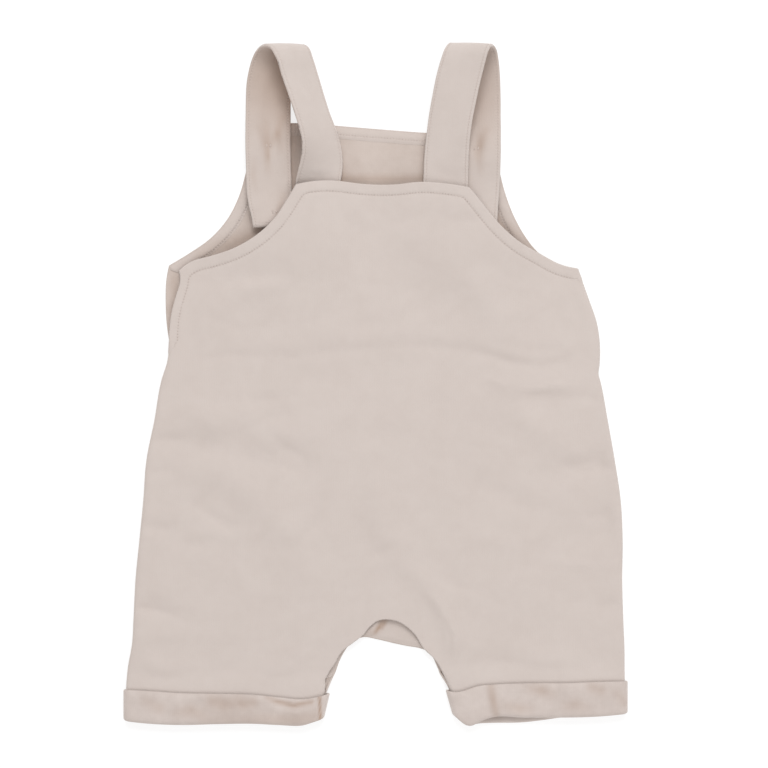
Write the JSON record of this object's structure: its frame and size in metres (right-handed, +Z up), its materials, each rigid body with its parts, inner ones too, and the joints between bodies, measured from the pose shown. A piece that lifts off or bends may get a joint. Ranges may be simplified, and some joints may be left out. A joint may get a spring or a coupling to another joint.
{
  "type": "short dungarees",
  "caption": "Child's short dungarees in soft jersey, laid flat with the back up: bib front, looped shoulder straps, topstitched edges and turned-up leg cuffs",
  "frame": {"origin": "middle of the footprint, on the surface that the garment lies on", "axes": "+X to the right across the garment as seen from above with its back up, +Y from the cuffs up to the straps, +Z up from the surface"},
  "size_m": [0.3232, 0.4362, 0.025],
  "materials": {
    "oat_jersey": "brushed cotton sweatshirt jersey, pale oat",
    "oat_jersey_inside": "inner face of the same jersey",
    "oat_facing": "facing strips of the same cloth",
    "oat_cuff": "inner face of the jersey turned out at the cuffs, slightly darker",
    "button_beige": "satin beige resin"
  },
  "bodies": {
    "root": {"back_panel": "oat_jersey", "front_panel": "oat_jersey_inside", "front_facing": "oat_facing", "inseam_facing": "oat_facing", "strap_left": "oat_jersey", "strap_right": "oat_jersey", "cuff_left": "oat_cuff", "cuff_right": "oat_cuff", "button_left": "button_beige", "button_right": "button_beige", "spare_button_left": "button_beige", "spare_button_right": "button_beige"}
  },
  "joints": []
}
